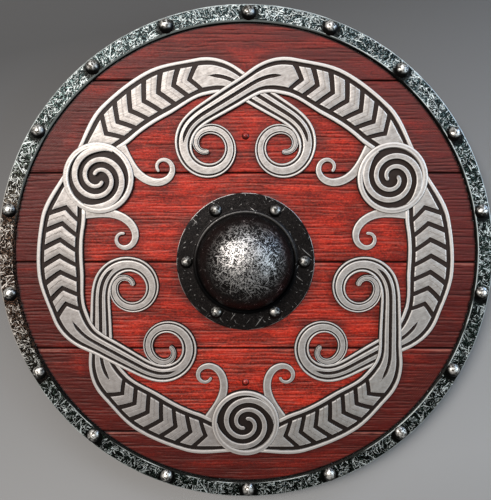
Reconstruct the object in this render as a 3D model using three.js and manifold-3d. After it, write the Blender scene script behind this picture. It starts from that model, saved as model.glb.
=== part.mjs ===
// A round wooden shield, lying on its back: six boards held by a riveted iron rim, an iron boss
// over the hand hole, a wooden grip bar behind it, and a carved and silvered ornament on the front.
// Millimetres, +Z out of the front face, +Y towards the top of the shield, the floor at z = 0.
import * as THREE from 'three';
import { mergeVertices } from 'three/addons/utils/BufferGeometryUtils.js';
import Module from 'manifold-3d';

const wasm = await Module();
wasm.setup();

// ---- driving dimensions -------------------------------------------------------------------
const SHIELD_RADIUS = 305;      // outside of the rim
const GRIP_DEPTH = 20;          // the grip bar, which the shield lies on
const BOARD_THICKNESS = 12;
const BOARD_COUNT = 6;
const BOARD_WIDTH = 109;        // from seam to seam
const BOARD_GAP = 0.6;
const SEAM_CHAMFER = 1.8;       // bevel along both edges of a seam
const RIM_SEGMENTS = 48;
const RIM_SHEET = 2.5;
const RIM_FLANGE = 21.5;        // how far the rim reaches over the front
const RIM_BACK_LIP = 6.3;       // a narrow lip, outside the ring of rivets
const RIM_ROUNDING = 2;
const HAND_HOLE_RADIUS = 55;
const BOSS_RADIUS = 85;
const BOSS_DOME_RADIUS = 59;
const BOSS_DOME_HEIGHT = 52;    // above the flange
const BOSS_SHEET = 2;
const BOSS_BEAD = [[64.5, 0], [63.4, 2.2], [61.2, 2.8]];  // radius and height above the flange
const BOSS_SEGMENTS = 30;
const CLEARANCE = 0.4;          // round every shank, and between the rim and the boards

const BACK = GRIP_DEPTH;                    // back face of the boards
const FACE = GRIP_DEPTH + BOARD_THICKNESS;  // front face of the boards

// The rim's rivets were set out by eye, so they stand a little closer together over the top right.
const RIM_RIVET = {
  count: 18,
  ring: 294.5,
  head: 8,
  height: 5,
  shank: 3,
  crowding: THREE.MathUtils.degToRad(2.5),
  crowdedAt: THREE.MathUtils.degToRad(16),  // clockwise from the top
};
const BOSS_RIVET = { count: 6, ring: 72.7, head: 7, height: 4.2, shank: 2.6, crowding: 0, crowdedAt: 0 };
const GRIP_RIVET = { offset: 153, head: 4.3, height: 1.8, shank: 1.8, bottom: 1 };
const RIVET_SIDES = 8;
const RIVET_SHOULDER = 0.72;                // where a head turns over, as a share of its size

const GRIP = {
  length: 360,
  handLength: 96,
  taperLength: 24,
  endWidth: 36,
  handWidth: 28,
  tipWidth: 28,
  tipLength: 8,
  endBevel: 3,
  handBevel: 6,
};

// The ornament: bands of carved relief laid out three times round the shield, each time with its
// mirror image, so that two bands cross on each of the three axes.
const RELIEF = {
  under: 3.0,      // top of the bands that pass below, above the boards
  over: 4.0,       // top of the bands that pass above
  roundel: 5.0,
  tendril: 2.6,
  groove: 1.3,     // floor of the carved grooves, above the boards
};
const REPEATS = 3;
const FIRST_AXIS = Math.PI / 2;             // the crossing at the top of the shield

// Each band starts under a roundel, sweeps along the rim, crosses its mirror image and curls up.
// The pieces of its middle line: length, radius at the start and radius at the end.
const BAND = {
  startRadius: 228,
  startAngle: THREE.MathUtils.degToRad(32),
  pieces: [
    [164, 228, 228],
    [22, 228, 60],
    [27, 60, 60],
    [18, 60, Infinity],
    [52, Infinity, Infinity],
    [36, Infinity, 36],
    [150, 36, 22],
    [44, 22, 9],
  ],
  halfWidths: [
    [0, 16],
    [62, 27],
    [122, 28.5],
    [177, 22],
    [237, 14],
    [312, 11.5],
    [362, 9],
    [452, 6],
    [513, 3],
  ],
};
const TENDRIL = {
  startRadius: 205,
  startAngle: THREE.MathUtils.degToRad(43),
  heading: THREE.MathUtils.degToRad(245),
  pieces: [
    [28, Infinity, -70],
    [30, -70, -30],
    [30, -30, -14],
    [40, -14, -7],
  ],
  halfWidths: [[0, 6.5], [50, 5], [128, 1.8]],
};
const CHEVRON = { first: 40, count: 7, pitch: 20, groove: 5.6, lean: 14, border: 5 };
const ROUNDEL = {
  ring: 205,
  radius: 42.5,
  border: 6,
  sides: 22,
  spiralTurns: 1.25,
  spiralEnd: 5,       // distance from the middle at which a groove ends
  grooveWidth: 4.6,
  grooveTaper: 0.4,   // how much of its width a groove loses on the way
};

// ---- solids ---------------------------------------------------------------------------------
function solidOf(geometry) {
  const shell = geometry.index ? geometry.toNonIndexed() : geometry.clone();
  shell.deleteAttribute('normal');
  shell.deleteAttribute('uv');
  const merged = mergeVertices(shell, 1e-4);
  return new wasm.Manifold(new wasm.Mesh({
    numProp: 3,
    vertProperties: new Float32Array(merged.attributes.position.array),
    triVerts: new Uint32Array(merged.index.array),
  }));
}

function geometryOf(solid) {
  const mesh = solid.getMesh();
  const geometry = new THREE.BufferGeometry();
  geometry.setAttribute('position', new THREE.BufferAttribute(mesh.vertProperties, 3));
  geometry.setIndex(new THREE.BufferAttribute(mesh.triVerts, 1));
  return geometry;
}

// A profile of [radius, height] points turned round the Z axis.
function turned(profile, segments) {
  const points = profile.map(([radius, height]) => new THREE.Vector2(radius, height));
  const geometry = new THREE.LatheGeometry(points, segments);
  geometry.rotateX(Math.PI / 2);
  return solidOf(geometry);
}

// A closed profile, such as a ring's section, that never touches the axis.
function turnedRing(profile, segments) {
  return turned([...profile, profile[0]], segments);
}

function prism(outline, bottom, top) {
  const shape = new THREE.Shape(outline.map(([x, y]) => new THREE.Vector2(x, y)));
  const geometry = new THREE.ExtrudeGeometry(shape, { depth: top - bottom, bevelEnabled: false });
  geometry.translate(0, 0, bottom);
  return solidOf(geometry);
}

// An upright cylinder that reaches past both faces of the boards and everything on them.
function cutter(radius, segments) {
  const [below, above] = [-1, FACE + 10];
  return turned([[0, below], [radius, below], [radius, above], [0, above]], segments);
}

function drill(solid, centres, radius) {
  const bit = cutter(radius, RIVET_SIDES);
  return centres.reduce((rest, [x, y]) => rest.subtract(bit.translate([x, y, 0])), solid);
}

// Places on a ring, clockwise from the first angle.
function ringOf({ count, ring, crowding, crowdedAt }, firstAngle) {
  return Array.from({ length: count }, (_, index) => {
    const even = index * 2 * Math.PI / count;
    const angle = firstAngle - even + crowding * Math.sin(even - crowdedAt);
    return [ring * Math.cos(angle), ring * Math.sin(angle)];
  });
}

const rimRivetCentres = ringOf(RIM_RIVET, FIRST_AXIS);
const bossRivetCentres = ringOf(BOSS_RIVET, 0);
const gripRivetCentres = [[0, GRIP_RIVET.offset], [0, -GRIP_RIVET.offset]];

// ---- boards ---------------------------------------------------------------------------------
const boardRadius = SHIELD_RADIUS - RIM_SHEET - CLEARANCE;

function boardDisc() {
  let disc = turned([[0, BACK], [boardRadius, BACK], [boardRadius, FACE], [0, FACE]], RIM_SEGMENTS);
  disc = disc.subtract(cutter(HAND_HOLE_RADIUS, BOSS_SEGMENTS));
  disc = drill(disc, rimRivetCentres, RIM_RIVET.shank + CLEARANCE);
  disc = drill(disc, bossRivetCentres, BOSS_RIVET.shank + CLEARANCE);
  return drill(disc, gripRivetCentres, GRIP_RIVET.shank + CLEARANCE);
}

// The section of one board, an upright rectangle with bevelled front edges, run along X. The
// outermost edges of the first and last board stay square, because the rim holds them.
function boardStrip(index) {
  const upper = (BOARD_COUNT / 2 - index) * BOARD_WIDTH - BOARD_GAP / 2;
  const lower = upper - BOARD_WIDTH + BOARD_GAP;
  const section = [
    [lower, BACK],
    [upper, BACK],
    [upper, FACE - SEAM_CHAMFER],
    [upper - SEAM_CHAMFER, FACE],
    [lower + SEAM_CHAMFER, FACE],
    [lower, FACE - SEAM_CHAMFER],
  ];
  const shape = new THREE.Shape(section.map(([y, z]) => new THREE.Vector2(y, z)));
  const length = 2 * SHIELD_RADIUS;
  const geometry = new THREE.ExtrudeGeometry(shape, { depth: length, bevelEnabled: false });
  geometry.applyMatrix4(new THREE.Matrix4().set(
    0, 0, 1, -length / 2,
    1, 0, 0, 0,
    0, 1, 0, 0,
    0, 0, 0, 1,
  ));
  return solidOf(geometry);
}

// ---- rim and boss ---------------------------------------------------------------------------
function rim() {
  const inside = SHIELD_RADIUS - RIM_SHEET;
  const front = FACE + RIM_SHEET;
  const back = BACK - RIM_SHEET;
  const channel = turnedRing([
    [SHIELD_RADIUS - RIM_FLANGE, FACE],
    [inside, FACE],
    [inside, BACK],
    [SHIELD_RADIUS - RIM_BACK_LIP, BACK],
    [SHIELD_RADIUS - RIM_BACK_LIP, back],
    [SHIELD_RADIUS, back],
    [SHIELD_RADIUS, front - RIM_ROUNDING],
    [SHIELD_RADIUS - RIM_ROUNDING, front],
    [SHIELD_RADIUS - RIM_FLANGE, front],
  ], RIM_SEGMENTS);
  return drill(channel, rimRivetCentres, RIM_RIVET.shank + CLEARANCE);
}

// A dome over a flat flange, beaten from one sheet, with a raised bead where they meet.
function boss() {
  const flangeTop = FACE + BOSS_SHEET;
  const bead = BOSS_BEAD.map(([radius, height]) => [radius, flangeTop + height]);
  const quarter = (radius, height, steps, from) => Array.from({ length: steps }, (_, step) => {
    const angle = from + (Math.PI / 2 - from) * step / steps;
    return [radius * Math.cos(angle), flangeTop + height * Math.sin(angle)];
  });
  const outer = quarter(BOSS_DOME_RADIUS, BOSS_DOME_HEIGHT, 5, 0.05);
  const inner = quarter(BOSS_DOME_RADIUS - BOSS_SHEET, BOSS_DOME_HEIGHT - BOSS_SHEET, 4, 0);
  const shell = turned([
    [0, flangeTop + BOSS_DOME_HEIGHT - BOSS_SHEET],
    ...inner.reverse(),
    [BOSS_DOME_RADIUS - BOSS_SHEET, FACE],
    [BOSS_RADIUS, FACE],
    [BOSS_RADIUS, flangeTop],
    ...bead,
    ...outer,
    [0, flangeTop + BOSS_DOME_HEIGHT],
  ], BOSS_SEGMENTS);
  return drill(shell, bossRivetCentres, BOSS_RIVET.shank + CLEARANCE);
}

// ---- rivets and grip ------------------------------------------------------------------------
// A low domed head standing on a surface, with its shank going down through the pieces it holds.
function rivet({ head, height, shank }, seat, bottom) {
  return turned([
    [0, bottom],
    [shank, bottom],
    [shank, seat],
    [head, seat],
    [head * RIVET_SHOULDER, seat + height * RIVET_SHOULDER],
    [0, seat + height],
  ], RIVET_SIDES);
}

// A bar along Y, narrower and rounder in the hand: six-sided sections joined end to end.
function grip() {
  const { length, handLength, taperLength, tipLength } = GRIP;
  const { endWidth, handWidth, tipWidth, endBevel, handBevel } = GRIP;
  const half = [
    [handLength / 2, handWidth, handBevel],
    [handLength / 2 + taperLength, endWidth, endBevel],
    [length / 2 - tipLength, endWidth, endBevel],
    [length / 2, tipWidth, handBevel],
  ];
  const otherHalf = half.map(([y, width, bevel]) => [-y, width, bevel]).reverse();
  const stations = [...otherHalf, ...half];
  const positions = [];
  for (const [y, width, bevel] of stations) {
    const side = width / 2;
    positions.push(-side, y, BACK, -side, y, bevel, bevel - side, y, 0);
    positions.push(side - bevel, y, 0, side, y, bevel, side, y, BACK);
  }
  const sides = 6;
  const indices = [];
  for (let station = 0; station + 1 < stations.length; station++) {
    for (let side = 0; side < sides; side++) {
      const a = station * sides + side;
      const b = station * sides + (side + 1) % sides;
      indices.push(a, b + sides, b, a, a + sides, b + sides);
    }
  }
  const last = (stations.length - 1) * sides;
  for (let side = 1; side + 1 < sides; side++) {
    indices.push(0, side, side + 1, last, last + side + 1, last + side);
  }
  const geometry = new THREE.BufferGeometry();
  geometry.setAttribute('position', new THREE.Float32BufferAttribute(positions, 3));
  geometry.setIndex(indices);
  return drill(solidOf(geometry), gripRivetCentres, GRIP_RIVET.shank + CLEARANCE);
}

// ---- ornament -------------------------------------------------------------------------------
// A path whose curvature changes evenly along each piece, sampled every millimetre.
function walk(startRadius, startAngle, heading, pieces) {
  const samples = [];
  let x = startRadius * Math.cos(startAngle);
  let y = startRadius * Math.sin(startAngle);
  let direction = heading;
  for (const [length, fromRadius, toRadius] of pieces) {
    for (let step = 0; step < length; step++) {
      samples.push({ x, y, direction });
      const curvature = 1 / fromRadius + (1 / toRadius - 1 / fromRadius) * (step + 0.5) / length;
      const middle = direction + curvature / 2;
      x += Math.cos(middle);
      y += Math.sin(middle);
      direction += curvature;
    }
  }
  samples.push({ x, y, direction });
  return samples;
}

// A smooth curve through [distance, value] pairs, level at each of them.
function eased(pairs, distance) {
  const next = Math.max(1, pairs.findIndex(([at]) => at >= distance));
  const [fromAt, from] = pairs[next - 1];
  const [toAt, to] = pairs[next];
  const share = THREE.MathUtils.clamp((distance - fromAt) / (toAt - fromAt), 0, 1);
  return from + (to - from) * share * share * (3 - 2 * share);
}

// The point at a distance along the path and an offset to its left.
function beside(samples, distance, offset) {
  const low = Math.min(samples.length - 2, Math.floor(distance));
  const share = Math.min(distance - low, 1);
  const from = samples[low];
  const to = samples[low + 1];
  const direction = from.direction + (to.direction - from.direction) * share;
  return [
    from.x + (to.x - from.x) * share - offset * Math.sin(direction),
    from.y + (to.y - from.y) * share + offset * Math.cos(direction),
  ];
}

// Places along the path, close together where it bends and far apart where it runs straight.
function stationsOf(samples, longest, widestTurn) {
  const stations = [0];
  for (let distance = 1; distance < samples.length; distance++) {
    const last = stations.at(-1);
    const turn = Math.abs(samples[distance].direction - samples[last].direction);
    if (distance - last >= longest || turn >= widestTurn) {
      stations.push(distance);
    }
  }
  stations[stations.length - 1] = samples.length - 1;
  return stations;
}

function bandOutline(samples, halfWidths, longest, widestTurn) {
  const stations = stationsOf(samples, longest, widestTurn);
  const left = stations.map((distance) => beside(samples, distance, eased(halfWidths, distance)));
  const right = stations.map((distance) => beside(samples, distance, -eased(halfWidths, distance)));
  return [...left, ...right.reverse()];
}

function chevronOutline(samples, halfWidths, distance) {
  const { groove, lean, border } = CHEVRON;
  const corner = (at, side) => beside(samples, at, side * (eased(halfWidths, at) - border));
  return [
    beside(samples, distance, 0),
    corner(distance + lean, 1),
    corner(distance + lean + groove, 1),
    beside(samples, distance + groove, 0),
    corner(distance + lean + groove, -1),
    corner(distance + lean, -1),
  ];
}

// An outline turned to its place among the repeats, and mirrored across its axis where asked.
function placed(outline, repeat, mirrored) {
  const turn = repeat * 2 * Math.PI / REPEATS;
  const [cosine, sine] = [Math.cos(turn), Math.sin(turn)];
  return outline.map(([x, y]) => {
    const across = mirrored ? -x : x;
    return [across * cosine - y * sine, across * sine + y * cosine];
  });
}

function spiralGroove(centre, startAngle) {
  const { radius, border, spiralTurns, spiralEnd, grooveWidth, grooveTaper } = ROUNDEL;
  const steps = 9;
  const side = (offset) => Array.from({ length: steps + 1 }, (_, step) => {
    const share = step / steps;
    const angle = startAngle + share * spiralTurns * 2 * Math.PI;
    const middle = (radius - border) * (1 - share) + spiralEnd * share;
    const distance = middle + offset * (1 - grooveTaper * share);
    return [centre[0] + distance * Math.cos(angle), centre[1] + distance * Math.sin(angle)];
  });
  return [...side(grooveWidth / 2), ...side(-grooveWidth / 2).reverse()];
}

const roundelAngle = (repeat) => FIRST_AXIS + (2 * repeat - 1) * Math.PI / REPEATS;

function roundelCentre(repeat) {
  const angle = roundelAngle(repeat);
  return [ROUNDEL.ring * Math.cos(angle), ROUNDEL.ring * Math.sin(angle)];
}

// The room that a roundel takes out of the bands that start under it.
function roundelBed(repeat) {
  const [x, y] = roundelCentre(repeat);
  return cutter(ROUNDEL.radius - ROUNDEL.border / 2, ROUNDEL.sides).translate([x, y, 0]);
}

function roundel(repeat) {
  const angle = roundelAngle(repeat);
  const centre = roundelCentre(repeat);
  const disc = turned([
    [0, FACE],
    [ROUNDEL.radius, FACE],
    [ROUNDEL.radius, FACE + RELIEF.roundel],
    [0, FACE + RELIEF.roundel],
  ], ROUNDEL.sides).translate([centre[0], centre[1], 0]);
  const grooves = [0, Math.PI].map((start) => (
    prism(spiralGroove(centre, angle + start), FACE + RELIEF.groove, FACE + RELIEF.roundel + 1)
  ));
  return grooves.reduce((rest, groove) => rest.subtract(groove), disc);
}

function ornament() {
  const band = walk(BAND.startRadius, BAND.startAngle, BAND.startAngle + Math.PI / 2, BAND.pieces);
  const bandEdge = bandOutline(band, BAND.halfWidths, 24, 0.5);
  const tendril = walk(TENDRIL.startRadius, TENDRIL.startAngle, TENDRIL.heading, TENDRIL.pieces);
  const tendrilEdge = bandOutline(tendril, TENDRIL.halfWidths, 16, 0.65);
  const chevrons = [];
  for (let index = 0; index < CHEVRON.count; index++) {
    const distance = CHEVRON.first + index * CHEVRON.pitch;
    chevrons.push(chevronOutline(band, BAND.halfWidths, distance));
  }
  const pieces = [];
  for (let repeat = 0; repeat < REPEATS; repeat++) {
    for (const mirrored of [false, true]) {
      const top = FACE + (mirrored ? RELIEF.under : RELIEF.over);
      let ribbon = prism(placed(bandEdge, repeat, mirrored), FACE, top);
      for (const chevron of chevrons) {
        ribbon = ribbon.subtract(prism(placed(chevron, repeat, mirrored), FACE + RELIEF.groove, top + 1));
      }
      pieces.push(ribbon.subtract(roundelBed(mirrored ? (repeat + 1) % REPEATS : repeat)));
      pieces.push(prism(placed(tendrilEdge, repeat, mirrored), FACE, FACE + RELIEF.tendril));
    }
    pieces.push(roundel(repeat));
  }
  return pieces.reduce((whole, piece) => whole.add(piece));
}

// ---- the shield -----------------------------------------------------------------------------
const finishes = {
  redWood: { color: '#8f2f28', roughness: 0.62, metalness: 0 },
  bareWood: { color: '#8a6a48', roughness: 0.7, metalness: 0 },
  silverPaint: { color: '#c3bdb6', roughness: 0.5, metalness: 0.35 },
  rimIron: { color: '#4d5350', roughness: 0.55, metalness: 0.85 },
  bossIron: { color: '#3a3634', roughness: 0.4, metalness: 0.9 },
  rivetSteel: { color: '#9a9c9b', roughness: 0.35, metalness: 1 },
};

const shield = new THREE.Group();

function addPiece(name, solid, finish) {
  const mesh = new THREE.Mesh(geometryOf(solid), new THREE.MeshStandardMaterial(finishes[finish]));
  mesh.name = name;
  shield.add(mesh);
}

const disc = boardDisc();
for (let index = 0; index < BOARD_COUNT; index++) {
  addPiece(`board_${index + 1}`, disc.intersect(boardStrip(index)), 'redWood');
}
addPiece('rim', rim(), 'rimIron');
addPiece('boss', boss(), 'bossIron');
addPiece('grip', grip(), 'bareWood');
addPiece('ornament', ornament(), 'silverPaint');

const rimRivet = rivet(RIM_RIVET, FACE + RIM_SHEET, BACK);
rimRivetCentres.forEach(([x, y], index) => {
  const number = String(index + 1).padStart(2, '0');
  addPiece(`rim_rivet_${number}`, rimRivet.translate([x, y, 0]), 'rivetSteel');
});
const bossRivet = rivet(BOSS_RIVET, FACE + BOSS_SHEET, BACK);
bossRivetCentres.forEach(([x, y], index) => {
  addPiece(`boss_rivet_${index + 1}`, bossRivet.translate([x, y, 0]), 'bossIron');
});
const gripRivet = rivet(GRIP_RIVET, FACE, GRIP_RIVET.bottom);
['top', 'bottom'].forEach((place, index) => {
  const [x, y] = gripRivetCentres[index];
  addPiece(`grip_rivet_${place}`, gripRivet.translate([x, y, 0]), 'redWood');
});

export default shield;
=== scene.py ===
"""The round shield, dressed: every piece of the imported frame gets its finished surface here.

X runs to the right of the face, Y to its top and Z out of it. Lengths are in millimetres, and
add_piece turns them to metres, in which materials, lights and the camera are given. Surfaces are
worked out as whole arrays of points.
"""
import functools
import math

import bpy
import numpy as np
from mathutils import Matrix, Vector


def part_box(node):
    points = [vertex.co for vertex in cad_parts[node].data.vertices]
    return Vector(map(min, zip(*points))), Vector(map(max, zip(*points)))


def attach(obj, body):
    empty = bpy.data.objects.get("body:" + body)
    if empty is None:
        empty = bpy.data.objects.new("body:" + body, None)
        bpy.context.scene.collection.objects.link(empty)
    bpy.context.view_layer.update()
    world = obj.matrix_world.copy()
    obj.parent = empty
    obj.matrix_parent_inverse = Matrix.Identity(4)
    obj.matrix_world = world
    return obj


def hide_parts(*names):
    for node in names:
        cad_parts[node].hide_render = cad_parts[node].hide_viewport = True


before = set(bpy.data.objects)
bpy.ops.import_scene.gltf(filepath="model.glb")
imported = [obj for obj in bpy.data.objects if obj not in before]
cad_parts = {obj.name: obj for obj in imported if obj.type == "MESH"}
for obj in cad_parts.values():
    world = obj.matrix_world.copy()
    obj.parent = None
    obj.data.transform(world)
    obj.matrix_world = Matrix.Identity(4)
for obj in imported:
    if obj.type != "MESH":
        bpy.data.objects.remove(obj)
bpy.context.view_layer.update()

TAU = 2 * math.pi


def box_of(node):
    """The lowest and highest corner of a node, in millimetres."""
    low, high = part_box(node)
    return np.array(low) * 1000, np.array(high) * 1000


# ---- sizes ----
SHIELD_RADIUS = box_of("rim")[1][1]
RIM_BACK, RIM_FRONT = box_of("rim")[0][2], box_of("rim")[1][2]
RIM_INNER = SHIELD_RADIUS - 21.5
RIM_CREST = RIM_INNER + 2.8  # the upper edge of the bevel inside the rim
RIM_BACK_LIP = 6.3
RIM_SHEET = 2.5
BACK, FACE = box_of("board_3")[0][2], box_of("board_3")[1][2]
BOARD_RADIUS = SHIELD_RADIUS - 2.9
BOARD_COUNT = 6
SEAM_GAP = 0.6
SEAM_BEVEL = 1.7
BOARD_PITCH = box_of("board_2")[1][1] - box_of("board_2")[0][1] + SEAM_GAP
BOARD_TIP = 1.6  # a board is at least this wide at its ends
STATION_STEP, GRAIN_STEP = 3.0, 0.7  # about, between points along a board and across it
BOARD_TONES = [0.08, 0.12, 0.08, 0.12, -0.25, 0.25]  # how grimy each board is
BOARD_SIDES = [0.7, 0.8, 1.3, 0.95, 1.3, 0.72]  # and how much darker still towards the rim, from soiling and painted shade
DARKER_OUT = (180, 283)  # the radii between which the boards get darker
RIM_RIVETS = [f"rim_rivet_{number:02d}" for number in range(1, 19)]
BOSS_RIVETS = [f"boss_rivet_{number}" for number in range(1, 7)]
HAND_HOLE_RADIUS = 55
BOSS_RADIUS = box_of("boss")[1][1]
BOSS_TOP = box_of("boss")[1][2]
BOSS_SHEET = 2
BOSS_FLANGE_TOP = FACE + BOSS_SHEET
DOME_RADIUS = 59
GRIP_HIGH = box_of("grip")[1]
GRIP_HAND_WIDTH = 28
# A rivet's seat and back end, the radius and the rise of its head, and the radius of its shank.
RIM_RIVET = (RIM_FRONT, BACK, 8.7, 6.2, 3)
BOSS_RIVET = (BOSS_FLANGE_TOP, BACK, 7.9, 4.6, 2.6)
GRIP_NAIL = (FACE, 1.6, 4.6, 2.6, 1.8)

# The ornament, laid out three times round the shield with its mirror image. A path starts at a
# radius and an angle with a heading. Its pieces are a length and the bend's radius at the start and
# at the end of it, and widths are (distance, half width) pairs.
REPEATS = 3
BAND_START = (228, math.radians(32), math.radians(122))
BAND_PIECES = [
    (164, 228, 228),
    (22, 228, 60),
    (27, 60, 60),
    (18, 60, math.inf),
    (52, math.inf, math.inf),
    (36, math.inf, 36),
    (150, 36, 22),
    (44, 22, 9),
]
BAND_WIDTHS = [(0, 16), (62, 27), (122, 28.5), (177, 22), (237, 14), (312, 11.5), (362, 9), (452, 6)]
BAND_WIDTHS += [(513, 3)]
TENDRIL_START = (205, math.radians(43), math.radians(245))
TENDRIL_PIECES = [(28, math.inf, -70), (30, -70, -30), (30, -30, -14), (40, -14, -7)]
TENDRIL_WIDTHS = [(0, 6.5), (50, 5), (128, 1.8)]
OVER, UNDER, ROUNDEL_TOP, TENDRIL_TOP, RECESS = 4.0, 3.0, 5.0, 2.6, 1.3
PASSING = 1.0  # how high a band still stands where it passes under something
UNDERSIDE = -0.25  # the ornament's, a little inside the boards
CHEVRON_FIRST, CHEVRON_COUNT, CHEVRON_PITCH, CHEVRON_CUT, CHEVRON_LEAN = 40, 7, 20, 6.8, 14
CUT_LIP = 0.1  # the depth, as a share of a chevron cut's, of the rubbed edge along it
SPLIT_END = 325  # how far along a band its middle cut runs
FLAT = 0.82  # the carve mark on flats, against 1 on the rubbed edges and 0 in the cuts
ROUNDEL_RING, ROUNDEL_RADIUS, ROUNDEL_BORDER, ROUNDEL_TURNS = 205, 42.5, 6, 1.25


# ---- noise ----
def value_noise(u, v, seed):
    """Random heights from 0 to 1 at the whole-number points of (u, v), eased between them."""
    table = np.random.default_rng(seed).random((256, 256))
    low_u, low_v = np.floor(u).astype(int), np.floor(v).astype(int)
    share_u, share_v = u - low_u, v - low_v
    share_u, share_v = share_u**2 * (3 - 2 * share_u), share_v**2 * (3 - 2 * share_v)
    a, b, c, d = low_u % 256, (low_u + 1) % 256, low_v % 256, (low_v + 1) % 256
    lower = table[a, c] * (1 - share_u) + table[b, c] * share_u
    upper = table[a, d] * (1 - share_u) + table[b, d] * share_u
    return lower * (1 - share_v) + upper * share_v


def rough_noise(u, v, seed, layers=3):
    """value_noise summed in layers, each twice as fine and half as strong, from -1 to 1."""
    total = sum((value_noise(u * 2**k, v * 2**k, seed + k) - 0.5) / 2**k for k in range(layers))
    return total * 2 / (2 - 2 ** (1 - layers))


def ease(value, low, high):
    """0 below low, 1 above high, and smooth between."""
    share = np.clip((value - low) / (high - low), 0, 1)
    return share * share * (3 - 2 * share)


# ---- meshes ----
def grid_faces(rows, columns, close_rows=False, close_columns=False, first=0):
    """Quads between neighbours on a grid of points numbered row by row from first."""
    i = np.arange(rows if close_rows else rows - 1)[:, None]
    j = np.arange(columns if close_columns else columns - 1)[None, :]
    below, beside = (i + 1) % rows, (j + 1) % columns
    corners = [i * columns + j, i * columns + beside, below * columns + beside, below * columns + j]
    return np.stack(np.broadcast_arrays(*corners), -1).reshape(-1, 4) + first


def tube_faces(rows, columns):
    """Faces of a closed tube whose rows run round it: quads between the rows and a cap at each end."""
    turn = np.arange(columns)
    caps = [turn[None, ::-1], turn[None, :] + (rows - 1) * columns]
    return [grid_faces(rows, columns, close_columns=True), *caps]


def volume_of(points, faces):
    """Signed volume inside closed faces: a sixth of the sum of corner products over triangles."""
    total = 0
    for group in faces:
        a = points[group[:, 0]]
        for k in range(1, group.shape[1] - 1):
            total += np.einsum("ij,ij->", a, np.cross(points[group[:, k]], points[group[:, k + 1]]))
    return total / 6


def linked(data):
    """An object of its data's name, in the scene."""
    thing = bpy.data.objects.new(data.name, data)
    bpy.context.scene.collection.objects.link(thing)
    return thing


def add_piece(name, nodes, points, faces, material, marks, crease):
    """Makes a closed piece from points in millimetres and groups of faces, turned outwards, and
    lets it stand for its CAD nodes. marks are numbers kept at each point, and edges that turn by
    more than crease degrees stay sharp."""
    points = np.asarray(points, float).reshape(-1, 3)
    faces = [np.atleast_2d(group) for group in faces]
    if volume_of(points, faces) < 0:
        faces = [group[:, ::-1] for group in faces]
    mesh = bpy.data.meshes.new(name)
    mesh.from_pydata((points / 1000).tolist(), [], [face for group in faces for face in group.tolist()])
    for mark, values in marks.items():
        layer = mesh.attributes.new(mark, "FLOAT", "POINT")
        layer.data.foreach_set("value", np.asarray(values, np.float32).ravel())
    mesh.shade_smooth()
    mesh.set_sharp_from_angle(angle=math.radians(crease))
    mesh.materials.append(material)
    piece = linked(mesh)
    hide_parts(*nodes)
    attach(piece, "root")


def turned(profile, segments, centre=(0, 0), wobble=None):
    """A profile of (radius, height) points from pole to pole, turned round an upright axis:
    x = r cos a, y = r sin a. wobble moves (radius, height) by an amount for each angle."""
    profile = np.asarray(profile, float)
    angle = np.arange(segments) / segments * TAU
    radius, height = np.repeat(profile[1:-1, None, :], segments, 1).transpose(2, 0, 1)
    if wobble:
        radius, height = wobble(radius, height, np.broadcast_to(angle, radius.shape))
    grid = np.stack([centre[0] + radius * np.cos(angle), centre[1] + radius * np.sin(angle), height], -1)
    poles = [[centre[0], centre[1], profile[0, 1]], [centre[0], centre[1], profile[-1, 1]]]
    rows = len(profile) - 2
    points = np.concatenate([poles, grid.reshape(-1, 3)])
    here = np.arange(segments)
    there = (here + 1) % segments
    last = 2 + (rows - 1) * segments
    top = np.stack([np.zeros_like(here), 2 + there, 2 + here], -1)
    bottom = np.stack([np.ones_like(here), last + here, last + there], -1)
    return points, [grid_faces(rows, segments, close_columns=True, first=2)[:, ::-1], top, bottom]


def arc(centre, radius, start, end, steps):
    """Points along an arc, with angles in degrees from the outward direction towards up."""
    angle = np.radians(np.linspace(start, end, steps + 1))
    return [(centre[0] + radius * math.cos(a), centre[1] + radius * math.sin(a)) for a in angle]


def along(points, spacing):
    """Points set evenly, about spacing apart, along the straight lines between points."""
    points = np.asarray(points, float)
    lengths = np.hypot(*np.diff(points, axis=0).T)
    distance = np.concatenate([[0], np.cumsum(lengths)])
    even = np.linspace(0, distance[-1], max(2, round(distance[-1] / spacing) + 1))
    return np.stack([np.interp(even, distance, points[:, k]) for k in (0, 1)], -1)


# ---- materials ----
def paint(hex_code):
    """A colour from its sRGB hex code, as linear values."""
    parts = [int(hex_code[k:k + 2], 16) / 255 for k in (1, 3, 5)]
    return [c / 12.92 if c <= 0.04045 else ((c + 0.055) / 1.055) ** 2.4 for c in parts] + [1]


def add_node(tree, kind, inputs=(), output=0, stops=(), **settings):
    """Adds a node with its settings and returns one of its outputs. Inputs are links, values or hex
    codes, in order or by name, and stops are a colour ramp's (position, hex code) pairs."""
    made = tree.nodes.new("ShaderNode" + kind)
    for name, value in settings.items():
        setattr(made, name, value)
    for name, value in inputs.items() if isinstance(inputs, dict) else enumerate(inputs):
        if isinstance(value, bpy.types.NodeSocket):
            tree.links.new(value, made.inputs[name])
        else:
            made.inputs[name].default_value = paint(value) if isinstance(value, str) else value
    for k, (position, hex_code) in enumerate(stops):
        elements = made.color_ramp.elements
        element = elements[k] if k < len(elements) else elements.new(position)
        element.position, element.color = position, paint(hex_code)
    return made.outputs[output] if len(made.outputs) else made


def material_of(recipe):
    """A material named for its recipe, the function that adds the nodes of a finish and returns its
    shader's inputs."""
    material = bpy.data.materials.new(recipe.__name__)
    material.use_nodes = True
    material.node_tree.nodes.clear()
    add = functools.partial(add_node, material.node_tree)
    add("OutputMaterial", {"Surface": add("BsdfPrincipled", recipe(add))})
    return material


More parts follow.
